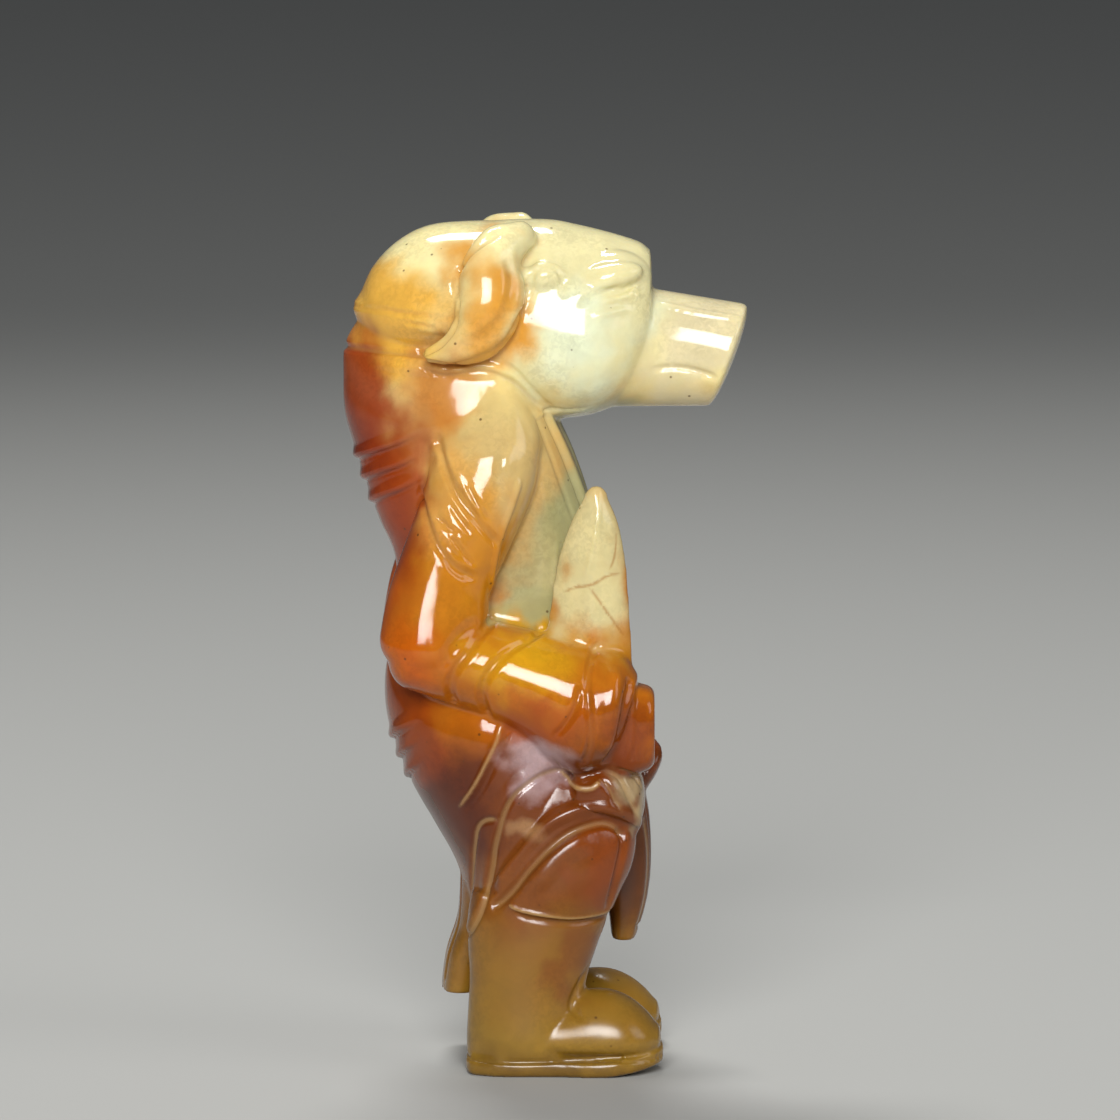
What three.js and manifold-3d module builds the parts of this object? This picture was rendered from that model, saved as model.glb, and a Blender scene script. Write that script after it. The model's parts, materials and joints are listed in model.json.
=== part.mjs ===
// A boar-headed figure in human dress, carved in the round from one piece of jade.
// It stands on its own two boots, faces +X, and its right hand is on the -Y side.
// Lengths are in millimetres. The origin is on the ground below the middle of the figure.
import * as THREE from 'three';
import { mergeVertices } from 'three/addons/utils/BufferGeometryUtils.js';
import Module from 'manifold-3d';

const wasm = await Module();
wasm.setup();

// Driving sizes
const CROWN = 58.9;             // height of the crown above the ground
const BACK = -14;               // the furthest point of the back
const SNOUT_TIP = 13.9;         // the furthest point of the snout
const CHEEK_HALF = 6.4;         // half the width of the head across the cheeks
const CAP_HALF = 6.5;           // half the width of the cap
const SNOUT_HALF = 3.5;         // half the width of the snout
const CHEST_HALF = 8;           // half the width of the chest
const HIP_HALF = 8.5;           // half the width of the robe at the hips
const ARM_Y = 7.2;              // middle of an arm from the middle of the body
const ARM_THICK = 3.3;          // half the thickness of a sleeve
const LEG_Y = 5.3;              // middle of a leg from the middle of the body
const BOOT_HALF = 3.3;          // half the width of a boot
const SOLE = 1.1;               // thickness of a sole
const TOE_SPRING = 0.7;         // how far the tip of a sole lifts off the ground
const BLADE_Y = -6.2;           // middle of the upright blade
const BLADE_HALF = 1.3;         // half the thickness of the blade
const ROLL = 0.6;               // half the width of a raised fold of cloth
const GROOVE = 0.35;            // half the width of a carved line, and its depth
const FINE_GROOVE = 0.24;       // the same for the lines of the face

const NEAR = -1;                // the side with the blade
const FAR = 1;

// Facets round a body, a limb and a carved line. Each is a multiple of four, so that a section
// has its full width and its full depth.
const BODY_SIDES = 16;
const LIMB_SIDES = 12;
const EAR_SIDES = 8;
const LINE_SIDES = 4;

const at = (x, y, z) => new THREE.Vector3(x, y, z);
const join = (solids) => solids.reduce((whole, solid) => whole.add(solid));

// Solids and triangles

function solidOf(geometry) {
  const bare = geometry.clone();
  bare.deleteAttribute('normal');
  bare.deleteAttribute('uv');
  const merged = mergeVertices(bare, 1e-4);
  const vertProperties = Float32Array.from(merged.attributes.position.array);
  const triVerts = Uint32Array.from(merged.index.array);
  if (volumeOf(vertProperties, triVerts) < 0) triVerts.reverse();
  return new wasm.Manifold(new wasm.Mesh({ numProp: 3, vertProperties, triVerts }));
}

function volumeOf(xyz, triangles) {
  const corner = (i) => at(0, 0, 0).fromArray(xyz, 3 * triangles[i]);
  let volume = 0;
  for (let i = 0; i < triangles.length; i += 3) {
    volume += corner(i).dot(corner(i + 1).cross(corner(i + 2))) / 6;
  }
  return volume;
}

function geometryOf(solid) {
  const { vertProperties, triVerts } = solid.getMesh();
  const geometry = new THREE.BufferGeometry();
  geometry.setAttribute('position', new THREE.Float32BufferAttribute(vertProperties, 3));
  geometry.setIndex([...triVerts]);
  return geometry;
}

// Lofts: a closed body through a few key sections

// A section has a middle, a reach across, a reach up and a reach down.
// A power of 2 makes it round, and a higher one makes it squarer.
function section(middle, across, up, down = up, power = 2) {
  return { middle, across, up, down, power };
}

// The points of a section, drawn smaller and moved out where it rounds off an end
function ringOf({ middle, across, up, down, power }, sides, { scale = 1, shift = at(0, 0, 0) } = {}) {
  const bend = (value) => Math.sign(value) * Math.abs(value) ** (2 / power);
  return Array.from({ length: sides }, (_, i) => {
    const angle = (2 * Math.PI * i) / sides;
    const [c, s] = [bend(Math.cos(angle)), bend(Math.sin(angle))];
    return middle.clone().add(shift)
      .addScaledVector(across, c * scale)
      .addScaledVector(s > 0 ? up : down, s * scale);
  });
}

// bulge is how far the round ends stand out beyond the first and the last section
function loft(keys, { sides = BODY_SIDES, bulge = [0, 0] } = {}) {
  const rings = keys.map((key) => ringOf(key, sides));
  const ends = [keys.slice(0, 2), keys.slice(-2).reverse()];
  const poles = ends.map(([end, inner], e) => {
    const out = end.middle.clone().sub(inner.middle).normalize();
    for (const angle of bulge[e] ? [Math.PI / 6, Math.PI / 3] : []) {
      const shift = out.clone().multiplyScalar(bulge[e] * Math.sin(angle));
      const ring = ringOf(end, sides, { scale: Math.cos(angle), shift });
      if (e === 0) rings.unshift(ring);
      else rings.push(ring);
    }
    return end.middle.clone().addScaledVector(out, bulge[e]);
  });
  return solidOf(skinOf(rings, poles, sides));
}

function skinOf(rings, poles, sides) {
  const points = [...rings.flat(), ...poles];
  const triangles = [];
  const last = (rings.length - 1) * sides;
  for (let i = 0; i < sides; i += 1) {
    const j = (i + 1) % sides;
    for (let row = 0; row < last; row += sides) {
      triangles.push(row + i, row + j, row + j + sides, row + i, row + j + sides, row + i + sides);
    }
    triangles.push(points.length - 2, j, i, points.length - 1, last + i, last + j);
  }
  const geometry = new THREE.BufferGeometry().setFromPoints(points);
  geometry.setIndex(triangles);
  return geometry;
}

// A level section of the body: its back and front at one height, and half its width
function level(z, back, front, half, { y = 0, power = 2 } = {}) {
  return section(at((back + front) / 2, y, z), at(0, half, 0), at((front - back) / 2, 0, 0), undefined, power);
}

// An upright section: its low and high edges, the height where it is widest, and half its width
function upright(x, low, high, half, { widest = (low + high) / 2, y = 0, power = 2 } = {}) {
  return section(at(x, y, widest), at(0, half, 0), at(0, 0, high - widest), at(0, 0, widest - low), power);
}

// A limb through stations of [x, y, z, half its depth in side view, half its thickness]
function limb(stations, side, options = {}) {
  const curve = new THREE.CatmullRomCurve3(stations.map(([x, y, z]) => at(x, y, z)));
  const keys = stations.map(([x, y, z, half, thick], i) => {
    const run = curve.getTangent(i / (stations.length - 1));
    const reach = at(-run.z, 0, run.x).normalize().multiplyScalar(half);
    return section(at(x, y * side, z), at(0, thick, 0), reach, undefined, options.power);
  });
  return loft(keys, { sides: LIMB_SIDES, ...options });
}

function ball(x, y, z, rx, ry, rz) {
  return solidOf(new THREE.SphereGeometry(1, 10, 6).scale(rx, ry, rz).translate(x, y, z));
}

// Lines and folds that follow the surface

// Drops a ray on the body from outside, and gives the place where it lands and the way out there
function landing(mesh, from, towards) {
  const [hit] = new THREE.Raycaster(from, towards).intersectObject(mesh);
  return hit && { point: hit.point, out: hit.face.normal.clone() };
}

// Lays a line, drawn in side view through [x, z] points, on one side of the body
function lineOnSide(mesh, outline, side) {
  const drawn = new THREE.CatmullRomCurve3(outline.map(([x, z]) => at(x, 0, z)));
  return drawn.getPoints(Math.max(4, outline.length - 1))
    .map((p) => landing(mesh, at(p.x, side * 40, p.z), at(0, -side, 0)))
    .filter(Boolean);
}

// Lays a swag round the back. It hangs from both sides and is lowest in the middle.
function swagRoundBack(mesh, high, low, { spread = 60, middle = -4, steps = 6 } = {}) {
  return Array.from({ length: steps + 1 }, (_, i) => {
    const turn = THREE.MathUtils.lerp(-1, 1, i / steps);
    const angle = THREE.MathUtils.degToRad(turn * spread);
    const out = at(-Math.cos(angle), Math.sin(angle), 0);
    const z = THREE.MathUtils.lerp(high, low, Math.cos((turn * Math.PI) / 2));
    return landing(mesh, out.clone().multiplyScalar(40).add(at(middle, 0, z)), out.clone().negate());
  }).filter(Boolean);
}

// A thin strip along a line, broadest in the middle of its length.
// As a groove it is cut away, and as a fold it is added.
function strip(line, width, height) {
  const curve = new THREE.CatmullRomCurve3(line.map(({ point }) => point));
  const last = line.length - 1;
  const keys = line.map(({ point, out }, i) => {
    const run = curve.getTangent(i / last);
    const across = out.clone().cross(run).normalize();
    const up = run.cross(across).negate().normalize();
    const size = 0.4 + 0.6 * Math.sin((Math.PI * i) / last) ** 0.5;
    return section(point, across.multiplyScalar(width * size), up.multiplyScalar(height * size));
  });
  return loft(keys, { sides: LINE_SIDES });
}

// Head: the boar's skull, its snout with the flat disc, cheeks, brows and swept-back ears

function makeHead() {
  const skull = loft([
    upright(-6, 46.5, CROWN - 0.4, CHEEK_HALF - 0.6, { widest: 52 }),
    upright(-2.5, 45.5, CROWN, CHEEK_HALF - 0.2, { widest: 51.8 }),
    upright(0.4, 45.2, CROWN, CHEEK_HALF, { widest: 51.3 }),
    upright(2.3, 45.3, CROWN - 0.4, CHEEK_HALF + 0.2, { widest: 51.2 }),
    upright(4, 45.8, CROWN - 0.8, CHEEK_HALF - 0.3, { widest: 51.2 }),
    upright(5.6, 46.2, CROWN - 1.4, CHEEK_HALF - 1.3, { widest: 51 }),
    upright(7.2, 46.6, CROWN - 2.4, CHEEK_HALF - 2.4, { widest: 51 }),
  ], { bulge: [0, 0.7] });
  const brows = [NEAR, FAR].map((side) => ball(4.9, 2.9 * side, 55.4, 2.3, 1.6, 1.4));
  return join([skull, makeSnout(), ...brows]);
}

// The disc of the snout leans: its upper edge stands furthest forward
function makeSnout() {
  const base = { low: at(4, 0, 46.5), high: at(4, 0, 54.8) };
  const disc = { low: at(11.2, 0, 46), high: at(SNOUT_TIP, 0, 53) };
  const leaning = (share, half, power) => {
    const low = base.low.clone().lerp(disc.low, share);
    const high = base.high.clone().lerp(disc.high, share);
    const middle = low.clone().add(high).multiplyScalar(0.5);
    return section(middle, at(0, half, 0), high.sub(middle), undefined, power);
  };
  const snout = loft([
    leaning(0, SNOUT_HALF + 0.8, 2.2),
    leaning(0.45, SNOUT_HALF + 0.1, 2.3),
    leaning(0.75, SNOUT_HALF - 0.2, 2.4),
    leaning(1, SNOUT_HALF, 2.5),
  ], { bulge: [0, 0.8] });
  const nostrils = [NEAR, FAR].map((side) => ball(13.5, 1.2 * side, 50.4, 0.9, 0.6, 0.8));
  return snout.subtract(join(nostrils));
}

function makeEar(side) {
  const lobe = limb([
    [-0.4, 4.6, 57.2, 1.2, 1.3],
    [-2.2, 5.4, 57.0, 1.8, 1.4],
    [-3.4, 6.2, 55.5, 2.3, 1.4],
    [-3.9, 6.6, 53.6, 2.2, 1.4],
    [-4.9, 6.8, 51.7, 1.7, 1.3],
    [-6.5, 6.8, 50.4, 1.0, 1.1],
    [-8.0, 6.8, 49.9, 0.5, 0.8],
  ], side, { sides: EAR_SIDES, bulge: [0.8, 0.4] });
  const rim = strip([
    [-0.4, 6.0, 57.4],
    [-1.2, 6.9, 55.9],
    [-1.6, 7.3, 53.8],
    [-2.9, 7.4, 51.7],
    [-5.0, 7.4, 50.1],
    [-7.4, 7.3, 49.6],
  ].map(([x, y, z]) => ({ point: at(x, y * side, z), out: at(0, side, 0) })), ROLL, ROLL);
  return lobe.add(rim);
}

// Cap: a rounded dome behind the ears, with a raised band at its lower edge

function makeCap() {
  const dome = loft([
    upright(-12.9, 51.8, 53.6, 2.2),
    upright(-11.9, 50.5, 55.5, CAP_HALF - 2.4),
    upright(-10.2, 49.5, 57.5, CAP_HALF - 1, { widest: 53 }),
    upright(-8, 49, CROWN - 0.3, CAP_HALF - 0.3, { widest: 53 }),
    upright(-5, 49, CROWN, CAP_HALF, { widest: 53 }),
    upright(-2, 49, CROWN, CAP_HALF - 0.3, { widest: 53 }),
  ], { bulge: [0.2, 0.6] });
  const band = loft([
    level(53.4, -12.9, -1, CAP_HALF - 0.2),
    level(53.0, -13.3, -1, CAP_HALF + 0.1),
    level(51.9, -13.2, -1, CAP_HALF + 0.1),
    level(51.5, -12.8, -1, CAP_HALF - 0.3),
  ]);
  return dome.add(band);
}

// Body: the hunched back, the bare chest and belly, and the robe down to the back of the knees

function makeBody() {
  return loft([
    level(52.5, -12.6, -3, 4.8),
    level(50.4, BACK + 0.2, -1, CHEST_HALF - 1.6),
    level(48, BACK, 0.2, CHEST_HALF - 0.5),
    level(45.5, BACK + 0.1, 0.9, CHEST_HALF),
    level(43, BACK + 0.9, 2, CHEST_HALF),
    level(40.5, BACK + 1.7, 2.9, CHEST_HALF - 0.5),
    level(38, BACK + 2.6, 3.6, CHEST_HALF - 0.9),
    level(35.3, BACK + 3.7, 4.3, CHEST_HALF - 1),
    level(31.5, BACK + 3.7, 4.8, CHEST_HALF - 0.8),
    level(27.5, BACK + 3, 4.9, HIP_HALF - 0.8),
    level(24.5, BACK + 3.1, 4.7, HIP_HALF - 0.2),
    level(21.8, BACK + 4, 4.6, HIP_HALF),
    level(19.2, BACK + 5.2, 4.7, HIP_HALF),
    level(16.6, BACK + 6.7, 4.3, HIP_HALF - 0.3),
    level(13.8, BACK + 8.1, 2.8, HIP_HALF - 0.7),
    level(10.8, BACK + 8.9, 0.5, HIP_HALF - 1.4),
  ], { bulge: [0.6, 0.8] });
}

// Arms: sleeves to the wrist, and the hand that ends each of them

function makeUpperArm(side) {
  return limb([
    [-4.3, ARM_Y - 1.2, 46.8, 3.1, ARM_THICK - 0.3],
    [-4.0, ARM_Y - 0.3, 44.4, 3.9, ARM_THICK],
    [-4.3, ARM_Y, 41.4, 3.9, ARM_THICK + 0.1],
    [-5.5, ARM_Y + 0.1, 38.2, 3.7, ARM_THICK],
    [-6.6, ARM_Y + 0.1, 35.5, 3.4, ARM_THICK],
    [-7.3, ARM_Y + 0.1, 32.8, 3.5, ARM_THICK],
    [-7.6, ARM_Y, 30.2, 3.7, ARM_THICK],
  ], side, { bulge: [2.4, 2.4] });
}

function makeNearForearm() {
  const sleeve = limb([
    [-8.3, ARM_Y, 29.8, 3, ARM_THICK - 0.1],
    [-6, ARM_Y + 0.1, 29, 3.2, ARM_THICK],
    [-3.4, ARM_Y + 0.1, 28.2, 3.3, ARM_THICK],
    [-0.3, ARM_Y, 27.1, 3.7, ARM_THICK + 0.1],
    [2.2, ARM_Y - 0.2, 25.8, 4.3, ARM_THICK + 0.1],
    [4.1, ARM_Y - 0.5, 25, 4.4, ARM_THICK - 0.1],
    [5.5, ARM_Y - 0.8, 24.4, 3.3, ARM_THICK - 0.6],
  ], NEAR, { bulge: [1.6, 0.4] });
  const hand = loft([
    upright(4.8, 21, 27, 2.8, { y: -5.9, power: 3 }),
    upright(6.2, 20.9, 27.1, 2.8, { y: -5.9, power: 3.4 }),
    upright(7.3, 21.3, 26.8, 2.6, { y: -5.9, power: 3.4 }),
    upright(7.6, 21.8, 26.4, 2.2, { y: -5.9, power: 3 }),
  ], { sides: LIMB_SIDES });
  return sleeve.add(hand);
}

function makeFarForearm() {
  const sleeve = limb([
    [-8.3, ARM_Y, 30, 2.8, ARM_THICK - 0.1],
    [-6, ARM_Y + 0.1, 28.4, 3.2, ARM_THICK],
    [-3.2, ARM_Y + 0.1, 26.6, 3.3, ARM_THICK],
    [0, ARM_Y - 0.2, 24.8, 3.5, ARM_THICK],
    [2.8, ARM_Y - 1, 23.2, 3.6, ARM_THICK],
    [5, ARM_Y - 2.2, 21.8, 3.2, ARM_THICK - 0.4],
  ], FAR, { bulge: [1.6, 0.6] });
  const hand = limb([
    [3.4, 4.9, 21.9, 2.6, 2.6],
    [5.4, 3.8, 20.6, 2.9, 2.5],
    [7, 2.9, 19.5, 2.4, 2.2],
  ], FAR, { bulge: [0, 0.7] });
  return sleeve.add(hand);
}

// Blade: a broad leaf-shaped blade that the right hand holds upright before the belly

function makeBlade() {
  const across = (z, left, right, thick) => level(z, left, right, thick, { y: BLADE_Y, power: 1.5 });
  return loft([
    across(24.5, 0, 6.2, BLADE_HALF),
    across(27.5, -0.4, 6.1, BLADE_HALF),
    across(30.4, 0, 5.9, BLADE_HALF),
    across(33, 0.5, 5.8, BLADE_HALF),
    across(35.8, 1, 5.6, BLADE_HALF - 0.1),
    across(38.4, 1.8, 5.1, BLADE_HALF - 0.3),
    across(40.2, 2.7, 4.4, BLADE_HALF - 0.7),
  ], { sides: LIMB_SIDES, bulge: [0, 0.8] });
}

// Robe: the skirt flaps, the front panel, the tail behind and the bunched sash below the hand

function makeRobe() {
  const frontPanel = loft([
    level(20.5, 2, 6.6, 3, { y: 1.6, power: 4 }),
    level(17.5, 2.4, 7.3, 3.2, { y: 1.6, power: 4 }),
    level(14, 3.6, 7.4, 3.2, { y: 1.6, power: 4 }),
    level(11, 4.4, 7.2, 3.2, { y: 1.6, power: 4 }),
    level(8.2, 4.8, 6.3, 3, { y: 1.6, power: 4 }),
  ], { sides: LIMB_SIDES });
  const tail = loft([
    level(13, -5.7, -2.5, 5, { y: 1.4, power: 3 }),
    level(9.8, -6, -3, 5, { y: 1.8, power: 3 }),
    level(7.2, -6.8, -4, 4.8, { y: 2, power: 3 }),
    level(4.7, -7.2, -4.6, 4.6, { y: 2.2, power: 3 }),
  ], { sides: LIMB_SIDES });
  const sash = loft([
    upright(2.6, 18.5, 21.6, 3.2, { y: -5.6, power: 2.4 }),
    upright(4.8, 17.8, 21.8, 3.4, { y: -5.4, power: 2.4 }),
    upright(6.6, 17, 21.4, 2.8, { y: -4.6, power: 2.4 }),
  ], { sides: LIMB_SIDES, bulge: [0.6, 0.6] });
  return join([frontPanel, tail, sash]);
}

// Legs: the full trouser over each knee, and a boot with its thick sole

function makeLeg(side) {
  const y = LEG_Y * side;
  const knee = loft([
    level(20, -1.5, 5, 3, { y }),
    level(18.6, -2.4, 6.2, 3.5, { y }),
    level(16.6, -3, 6.8, 3.8, { y }),
    level(14.4, -3.7, 6.5, 3.8, { y }),
    level(12.4, -4.3, 5.5, 3.6, { y }),
    level(11.1, -4.7, 4.8, 3.6, { y }),
  ], { sides: LIMB_SIDES, bulge: [0.8, 0] });
  const shaft = loft([
    level(12.6, -5, 4.2, BOOT_HALF - 0.2, { y }),
    level(11, -5.3, 4.4, BOOT_HALF, { y }),
    level(8.8, -5.3, 3.7, BOOT_HALF, { y }),
    level(6.6, -5.2, 3, BOOT_HALF - 0.1, { y }),
    level(4.5, -5.3, 2.8, BOOT_HALF - 0.1, { y }),
    level(2.6, -5.4, 3, BOOT_HALF, { y }),
    level(SOLE - 0.3, -5.4, 3.2, BOOT_HALF - 0.1, { y }),
  ], { sides: LIMB_SIDES });
  return join([knee, shaft, makeFoot(y)]);
}

// How far the foot lifts off the ground towards the tip of the toe
const lift = (x) => TOE_SPRING * THREE.MathUtils.clamp((x - 4) / 4.3, 0, 1) ** 1.6;

function makeFoot(y) {
  const low = SOLE - 0.3;
  const upper = loft([
    upright(-3, low, 3.8, 2.4, { y }),
    upright(-1, low, 4.6, 3.1, { y }),
    upright(1.4, low, 5.2, 3.4, { y, widest: 2.2 }),
    upright(3, low, 5.8, 3.5, { y, widest: 2.2 }),
    upright(4.6, low, 5.7, 3.6, { y, widest: 2.2 }),
    upright(6, low, 5.1, 3.4, { y, widest: 2.2 }),
    upright(7.2, low + lift(7.2), 4.1, 2.7, { y, widest: 2.2 }),
    upright(7.9, low + lift(7.9), 3.2, 1.8, { y, widest: 2.1 }),
  ], { sides: LIMB_SIDES, bulge: [0, 0.3] });
  const slab = (x, half) => section(
    at(x, y, SOLE / 2 + lift(x)),
    at(0, half, SOLE / 2),
    at(0, -half, SOLE / 2),
  );
  const sole = loft([
    slab(-5.5, 1.4), slab(-5, 2.6), slab(-3, 3.4), slab(0.5, 3.4), slab(4, 3.8),
    slab(6, 3.5), slab(7.4, 2.6), slab(8.1, 1.5), slab(8.3, 0.7),
  ], { sides: 4 });
  return upper.add(sole);
}

// Carving: folds stand out from the surface, and lines are cut into it

const SLEEVE_RINGS = [
  [[-3.7, 31.3], [-5.4, 29.4], [-6.3, 27.6], [-6.2, 26.4]],
  [[-0.4, 30.8], [-2.4, 29.8], [-3.8, 28.3], [-4, 26.6], [-3.6, 25.4]],
  [[2.4, 27.2], [1.9, 25.4], [0.7, 23.7]],
  [[3.1, 29.4], [3.1, 26], [2.7, 22.2]],
];
const UPPER_SLEEVE_LINES = [
  [[-7, 44], [-6.4, 41.4], [-5.1, 39.3], [-3.4, 37.2]],
  [[-8.3, 40.4], [-7.4, 37.7], [-6, 35.8], [-4.4, 34.9]],
];
const ROBE_LINES = [
  [[-3.1, 24.2], [-4.8, 21.6], [-6.1, 18.8]],
  [[-1.1, 20.6], [-2.5, 18.9], [-3.2, 17], [-3.7, 14.9], [-4.4, 12.2], [-5, 10.4]],
];
const KNEE_FOLD = [[-2.6, 13.4], [-0.9, 15.8], [1.4, 18], [3.8, 19], [5.4, 18.2], [6.1, 16.8]];
const COLLAR_LINE = [[-8.6, 49.4], [-6, 48.9], [-3.4, 48.6], [-1.6, 47.6], [0.2, 45.8]];
const MOUTH_LINE = [[7, 48.7], [9.6, 48.6], [12.5, 48]];
const EYE_LINES = [
  [[3.5, 54], [5, 54.3], [6.3, 55]],
  [[3.3, 53.1], [4.7, 53.3], [6, 53.6]],
];
const BACK_SWAGS = [[44.4, 42.2], [43, 40.7], [41.6, 39.2], [24, 22.5], [22.8, 21.2], [21.6, 19.9]];
const COLLAR_BEHIND = [50.2, 50];

function addFolds(body) {
  const mesh = new THREE.Mesh(geometryOf(body));
  const swags = BACK_SWAGS.map(([high, low]) => strip(swagRoundBack(mesh, high, low), ROLL * 1.3, ROLL * 0.6));
  const knees = [NEAR, FAR].map((side) => strip(lineOnSide(mesh, KNEE_FOLD, side), ROLL, ROLL));
  return join([body, ...swags, ...knees]);
}

function cutLines(body) {
  const mesh = new THREE.Mesh(geometryOf(body));
  const cut = (outlines, size, sides) => sides.flatMap((side) => (
    outlines.map((outline) => strip(lineOnSide(mesh, outline, side), size, size))));
  const cuts = [
    ...cut([MOUTH_LINE, ...EYE_LINES], FINE_GROOVE, [NEAR, FAR]),
    ...cut([COLLAR_LINE, UPPER_SLEEVE_LINES[0]], GROOVE, [NEAR, FAR]),
    ...cut([UPPER_SLEEVE_LINES[1], ...SLEEVE_RINGS, ...ROBE_LINES], GROOVE, [NEAR]),
    strip(swagRoundBack(mesh, ...COLLAR_BEHIND, { spread: 80 }), GROOVE, GROOVE),
  ];
  return cuts.reduce((carved, groove) => carved.subtract(groove), body);
}

const body = join([
  makeHead(), makeEar(NEAR), makeEar(FAR), makeCap(), makeBody(),
  makeUpperArm(NEAR), makeUpperArm(FAR), makeNearForearm(), makeFarForearm(),
  makeBlade(), makeRobe(), makeLeg(NEAR), makeLeg(FAR),
]);

const jade = new THREE.MeshStandardMaterial({ color: '#c98a3a', roughness: 0.18, metalness: 0 });
const statue = new THREE.Mesh(geometryOf(cutLines(addFolds(body))), jade);
statue.name = 'statue';

const figure = new THREE.Group();
figure.add(statue);

export default figure;
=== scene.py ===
# %% [markdown]
# # A boar-headed figure carved in jade
# The figure is about 59 mm tall and was cut from one stone, so it is one piece here too.
# It is built in the order that a carver works: first the big rounded masses of head, back,
# arms and legs, then one skin over all of them, then the folds and lines that are cut into
# that skin, and last the colours and the polish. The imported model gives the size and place.

# %% Load the frame
import json
import math

import bpy
import numpy as np
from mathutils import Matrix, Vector

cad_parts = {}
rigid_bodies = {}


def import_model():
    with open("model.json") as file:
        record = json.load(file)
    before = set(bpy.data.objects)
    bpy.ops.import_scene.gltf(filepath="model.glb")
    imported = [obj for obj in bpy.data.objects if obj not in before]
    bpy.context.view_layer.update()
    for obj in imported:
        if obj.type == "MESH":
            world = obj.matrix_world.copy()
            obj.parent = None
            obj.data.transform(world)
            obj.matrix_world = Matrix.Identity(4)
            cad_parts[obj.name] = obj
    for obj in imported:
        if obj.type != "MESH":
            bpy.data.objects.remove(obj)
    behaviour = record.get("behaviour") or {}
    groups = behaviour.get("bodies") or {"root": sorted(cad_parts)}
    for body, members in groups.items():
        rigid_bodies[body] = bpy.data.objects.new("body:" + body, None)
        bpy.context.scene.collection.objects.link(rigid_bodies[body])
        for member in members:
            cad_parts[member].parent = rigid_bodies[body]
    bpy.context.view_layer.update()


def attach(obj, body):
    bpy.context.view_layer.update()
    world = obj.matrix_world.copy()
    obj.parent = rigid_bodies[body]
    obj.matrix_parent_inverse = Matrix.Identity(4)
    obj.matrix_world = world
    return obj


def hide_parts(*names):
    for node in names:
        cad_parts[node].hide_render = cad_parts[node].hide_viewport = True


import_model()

# %% [markdown]
# ## Camera
# The figure is seen from its right side and a little from above, through a long lens at
# close range. The distance and the width of the view are real sizes, and the focal length
# follows from them.

# %% Set the camera
MM = 0.001
CAMERA_DISTANCE = 600 * MM
CAMERA_TILT = math.radians(7)
VIEW_WIDTH = 78.2 * MM
VIEW_MIDDLE = Vector((1.1 * MM, 0, 35.1 * MM))
SENSOR_WIDTH = 36

camera_data = bpy.data.cameras.new("camera")
camera_data.sensor_width = SENSOR_WIDTH
camera_data.lens = SENSOR_WIDTH * CAMERA_DISTANCE / VIEW_WIDTH
camera_data.clip_start = 10 * MM
camera = bpy.data.objects.new("camera", camera_data)
bpy.context.scene.collection.objects.link(camera)
towards_camera = Vector((0, -math.cos(CAMERA_TILT), math.sin(CAMERA_TILT)))
camera.location = VIEW_MIDDLE + CAMERA_DISTANCE * towards_camera
camera.rotation_euler = (math.pi / 2 - CAMERA_TILT, 0, 0)
bpy.context.scene.camera = camera
print("focal length, mm:", round(camera_data.lens))

# %% [markdown]
# ## Masses
# A carved body has no blank with straight sides to start from: its section changes all the
# way along. So each mass is a ball whose rings are moved, one by one, onto a row of key
# sections, with a smooth curve from each section to the next. A section is a rounded shape
# with a reach across, a reach up and a reach down. Power 2 makes it an ellipse, and a
# higher power makes it squarer. Lengths are in millimetres until the figure is finished.

# %% Describe a section
NEAR, FAR = -1, 1


def section(middle, across, up, down=None, power=2.0):
    """A row of numbers: the section's middle, its three reaches as vectors, and its power."""
    down = up if down is None else down
    return np.array([*middle, *across, *up, *down, power], dtype=float)


def level(z, back, front, half, y=0.0, power=2.0, widest=None):
    """A level section, by its back, its front and half its width, widest at one place."""
    widest = (back + front) / 2 if widest is None else widest
    ahead, behind = (front - widest, 0, 0), (widest - back, 0, 0)
    return section((widest, y, z), (0, half, 0), ahead, behind, power)


def upright(x, low, high, half, widest=None, y=0.0, power=2.0):
    """An upright section across the figure, widest at one height."""
    widest = (low + high) / 2 if widest is None else widest
    above, below = (0, 0, high - widest), (0, 0, widest - low)
    return section((x, y, widest), (0, half, 0), above, below, power)


def limb(stations, side, power=2.0):
    """Sections square to a limb, through x, y, z, its reach ahead and behind, and half its
    thickness. One number stands for both reaches where they are the same."""
    runs = np.gradient(np.array([station[:3] for station in stations], dtype=float), axis=0)
    rows = []
    for (x, y, z, half, thick), run in zip(stations, runs):
        square = np.array([-run[2], 0, run[0]]) / np.hypot(run[0], run[2])
        ahead, behind = half if isinstance(half, tuple) else (half, half)
        rows.append(section((x, y * side, z), (0, thick, 0), ahead * square, behind * square, power))
    return rows


# %% Shape a ball into a mass
SIDES = 80
RINGS_PER_GAP = 8
DOME_RINGS = 6
masses = []


def smooth_rows(rows, per_gap):
    """A smooth curve, a Catmull-Rom spline, through rows of numbers."""
    rows = np.array(rows, dtype=float)
    padded = np.vstack([rows[:1], rows, rows[-1:]])
    smooth = []
    for a, b, c, d in zip(padded, padded[1:], padded[2:], padded[3:]):
        for u in np.linspace(0, 1, per_gap, endpoint=False):
            bend = 2 * a - 5 * b + 4 * c - d + u * (3 * (b - c) + d - a)
            smooth.append(b + 0.5 * u * (c - a + u * bend))
    return np.array(smooth + [rows[-1]])


def ring_of(row, scale=1.0, shift=0.0):
    """The points round one section, from its near side over the front or the top."""
    middle, across, up, down, power = row[:3], row[3:6], row[6:9], row[9:12], row[12]
    angle = np.linspace(0, 2 * math.pi, SIDES, endpoint=False)
    c, s = (np.sign(v) * np.abs(v) ** (2 / power) for v in (np.cos(angle), np.sin(angle)))
    reach = np.where(s[:, None] > 0, up, down)
    return middle + shift + scale * (c[:, None] * across + s[:, None] * reach)


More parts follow.
